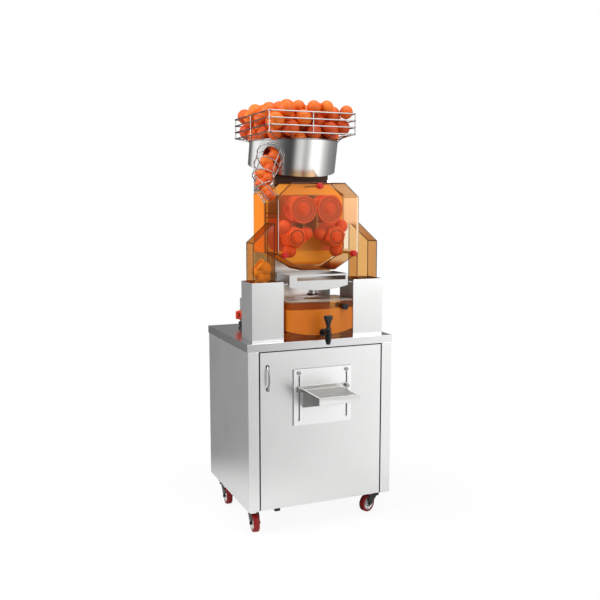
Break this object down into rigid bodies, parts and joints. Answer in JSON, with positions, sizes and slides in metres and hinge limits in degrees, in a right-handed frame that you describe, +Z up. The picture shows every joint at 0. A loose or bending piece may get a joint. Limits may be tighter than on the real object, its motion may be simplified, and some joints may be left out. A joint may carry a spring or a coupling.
{
  "type": "automatic orange juicer",
  "caption": "Free-standing automatic orange juicer: wire fruit basket over a tilted feeder drum, amber pressing chamber, juice tank with tap, and a wheeled steel cabinet with a glass shelf.",
  "frame": {"origin": "on the floor, below the middle of the machine's box", "axes": "+Z up, the front with the door and tap faces -Y, +X to the right seen from the front"},
  "size_m": [0.7, 0.773, 1.848],
  "materials": {
    "satin_steel": "satin",
    "drum_steel": "brushed round the drum",
    "polished_steel": "polished",
    "chrome_wire": "bright",
    "machined_steel": "turned",
    "bronze": "machined",
    "amber_acrylic": "clear amber",
    "drum_plastic": "semi gloss",
    "red_plastic": "gloss",
    "black_plastic": "satin",
    "dark_metal": "black",
    "red_tyre": "smooth tread",
    "grey_plastic": "matte",
    "dark_rubber": "soft"
  },
  "bodies": {
    "cabinet": {"worktop": "satin_steel", "cabinet_wrap": "satin_steel", "floor_panel": "satin_steel", "caster_plates": "dark_metal", "door_pivots": "black_plastic", "peel_boxes": "satin_steel", "peel_chutes": "amber_acrylic", "peel_bin": "grey_plastic", "body_shell": "satin_steel", "rear_cover": "satin_steel", "drive_motor": "dark_metal", "chamber_back_plate": "drum_plastic", "shaft_bearings": "bronze", "knife": "polished_steel", "rear_shroud": "amber_acrylic", "feeder_drum": "drum_steel", "feeder_motor": "dark_metal", "drum_support": "dark_metal", "chute_wires": "chrome_wire", "control_box": "satin_steel", "switch_base": "black_plastic", "power_inlet": "black_plastic"},
    "door": {"door_panel": "satin_steel", "door_handle": "chrome_wire", "shelf_backplate": "polished_steel", "backplate_screws": "polished_steel"},
    "shelf": {"drip_tray": "polished_steel", "shelf_knobs": "polished_steel"},
    "grid": {"drip_grid": "polished_steel"},
    "tank": {"juice_tank": "amber_acrylic", "tank_lid": "amber_acrylic", "tap_body": "black_plastic", "level_sensor": "black_plastic"},
    "lever": {"tap_handle": "black_plastic"},
    "sieve": {"sieve_tray": "polished_steel", "sieve_screen": "polished_steel", "spout_ring": "dark_rubber"},
    "cover": {"front_cover": "amber_acrylic"},
    "knob_top": {"cover_knob_top": "red_plastic"},
    "knob_left": {"cover_knob_left": "red_plastic"},
    "knob_right": {"cover_knob_right": "red_plastic"},
    "feeder": {"feeder_disc": "satin_steel"},
    "basket": {"basket": "chrome_wire"},
    "switch": {"main_switch": "red_plastic"},
    "upper_left": {"upper_left_drum": "drum_plastic", "upper_left_shaft": "machined_steel"},
    "upper_right": {"upper_right_drum": "drum_plastic", "upper_right_shaft": "machined_steel"},
    "lower_left": {"lower_left_drum": "drum_plastic", "lower_left_shaft": "machined_steel"},
    "lower_right": {"lower_right_drum": "drum_plastic", "lower_right_shaft": "machined_steel"},
    "caster_fl": {"caster_fork_fl": "dark_metal"},
    "wheel_fl": {"caster_wheel_fl": "red_tyre"},
    "caster_fr": {"caster_fork_fr": "dark_metal"},
    "wheel_fr": {"caster_wheel_fr": "red_tyre"},
    "caster_rl": {"caster_fork_rl": "dark_metal"},
    "wheel_rl": {"caster_wheel_rl": "red_tyre"},
    "caster_rr": {"caster_fork_rr": "dark_metal"},
    "wheel_rr": {"caster_wheel_rr": "red_tyre"}
  },
  "joints": [
    {"name": "door_hinge", "type": "hinge", "parent": "cabinet", "child": "door", "pos_m": [0.282, -0.1935, 0.459], "axis": [0, 0, 1], "range_deg": [0, 110]},
    {"name": "shelf_slide", "type": "slide", "parent": "door", "child": "shelf", "axis": [0, 0, 1], "range_m": [-0.125, 0.045]},
    {"name": "grid_lift", "type": "slide", "parent": "shelf", "child": "grid", "axis": [0, 0, 1], "range_m": [0, 0.08]},
    {"name": "tank_slide", "type": "slide", "parent": "cabinet", "child": "tank", "axis": [0, -1, 0], "range_m": [0, 0.25]},
    {"name": "tap_lever", "type": "hinge", "parent": "tank", "child": "lever", "pos_m": [0, -0.2655, 0.908], "axis": [1, 0, 0], "range_deg": [0, 35], "stiffness_Nm_per_rad": 0.5},
    {"name": "sieve_slide", "type": "slide", "parent": "cabinet", "child": "sieve", "axis": [0, -1, 0], "range_m": [0, 0.2]},
    {"name": "cover_slide", "type": "slide", "parent": "cabinet", "child": "cover", "axis": [0, -1, 0], "range_m": [0, 0.17]},
    {"name": "knob_top_turn", "type": "hinge", "parent": "cover", "child": "knob_top", "pos_m": [0, -0.1765, 1.522], "axis": [0, 1, 0], "continuous": true},
    {"name": "knob_left_turn", "type": "hinge", "parent": "cover", "child": "knob_left", "pos_m": [-0.165, -0.1765, 1.225], "axis": [0, 1, 0], "continuous": true},
    {"name": "knob_right_turn", "type": "hinge", "parent": "cover", "child": "knob_right", "pos_m": [0.165, -0.1765, 1.225], "axis": [0, 1, 0], "continuous": true},
    {"name": "upper_right_spin", "type": "hinge", "parent": "cabinet", "child": "upper_right", "pos_m": [0.063, -0.0985, 1.421], "axis": [0, 1, 0], "continuous": true},
    {"name": "upper_left_spin", "type": "hinge", "parent": "cabinet", "child": "upper_left", "pos_m": [-0.063, -0.0985, 1.421], "axis": [0, 1, 0], "continuous": true},
    {"name": "lower_left_spin", "type": "hinge", "parent": "cabinet", "child": "lower_left", "pos_m": [-0.095, -0.0985, 1.29913], "axis": [0, 1, 0], "continuous": true},
    {"name": "lower_right_spin", "type": "hinge", "parent": "cabinet", "child": "lower_right", "pos_m": [0.095, -0.0985, 1.29913], "axis": [0, 1, 0], "continuous": true},
    {"name": "feeder_spin", "type": "hinge", "parent": "cabinet", "child": "feeder", "pos_m": [0, 0.1585, 1.615], "axis": [0, -0.2453, 0.9694], "continuous": true},
    {"name": "basket_lift", "type": "slide", "parent": "cabinet", "child": "basket", "axis": [0, 0, 1], "range_m": [0, 0.15]},
    {"name": "switch_turn", "type": "hinge", "parent": "cabinet", "child": "switch", "pos_m": [-0.215, 0.3065, 0.905], "axis": [1, 0, 0], "range_deg": [0, 90]},
    {"name": "swivel_fl", "type": "hinge", "parent": "cabinet", "child": "caster_fl", "pos_m": [-0.302, -0.1245, 0.09], "axis": [0, 0, 1], "continuous": true},
    {"name": "roll_fl", "type": "hinge", "parent": "caster_fl", "child": "wheel_fl", "pos_m": [-0.30576, -0.1603, 0.04], "axis": [0.9945, -0.1045, 0], "continuous": true},
    {"name": "swivel_fr", "type": "hinge", "parent": "cabinet", "child": "caster_fr", "pos_m": [0.296, -0.1255, 0.09], "axis": [0, 0, 1], "continuous": true},
    {"name": "roll_fr", "type": "hinge", "parent": "caster_fr", "child": "wheel_fr", "pos_m": [0.26262, -0.13899, 0.04], "axis": [0.3746, -0.9272, 0], "continuous": true},
    {"name": "swivel_rl", "type": "hinge", "parent": "cabinet", "child": "caster_rl", "pos_m": [-0.312, 0.2415, 0.09], "axis": [0, 0, 1], "continuous": true},
    {"name": "roll_rl", "type": "hinge", "parent": "caster_rl", "child": "wheel_rl", "pos_m": [-0.31451, 0.20559, 0.04], "axis": [0.9976, -0.0698, 0], "continuous": true},
    {"name": "swivel_rr", "type": "hinge", "parent": "cabinet", "child": "caster_rr", "pos_m": [0.312, 0.2405, 0.09], "axis": [0, 0, 1], "continuous": true},
    {"name": "roll_rr", "type": "hinge", "parent": "caster_rr", "child": "wheel_rr", "pos_m": [0.30028, 0.20646, 0.04], "axis": [0.9455, -0.3256, 0], "continuous": true}
  ],
  "couplings": [
    {"joint": "upper_left_spin", "follows": "upper_right_spin", "ratio": -1},
    {"joint": "lower_right_spin", "follows": "upper_right_spin", "ratio": -1},
    {"joint": "lower_left_spin", "follows": "upper_right_spin", "ratio": 1}
  ]
}
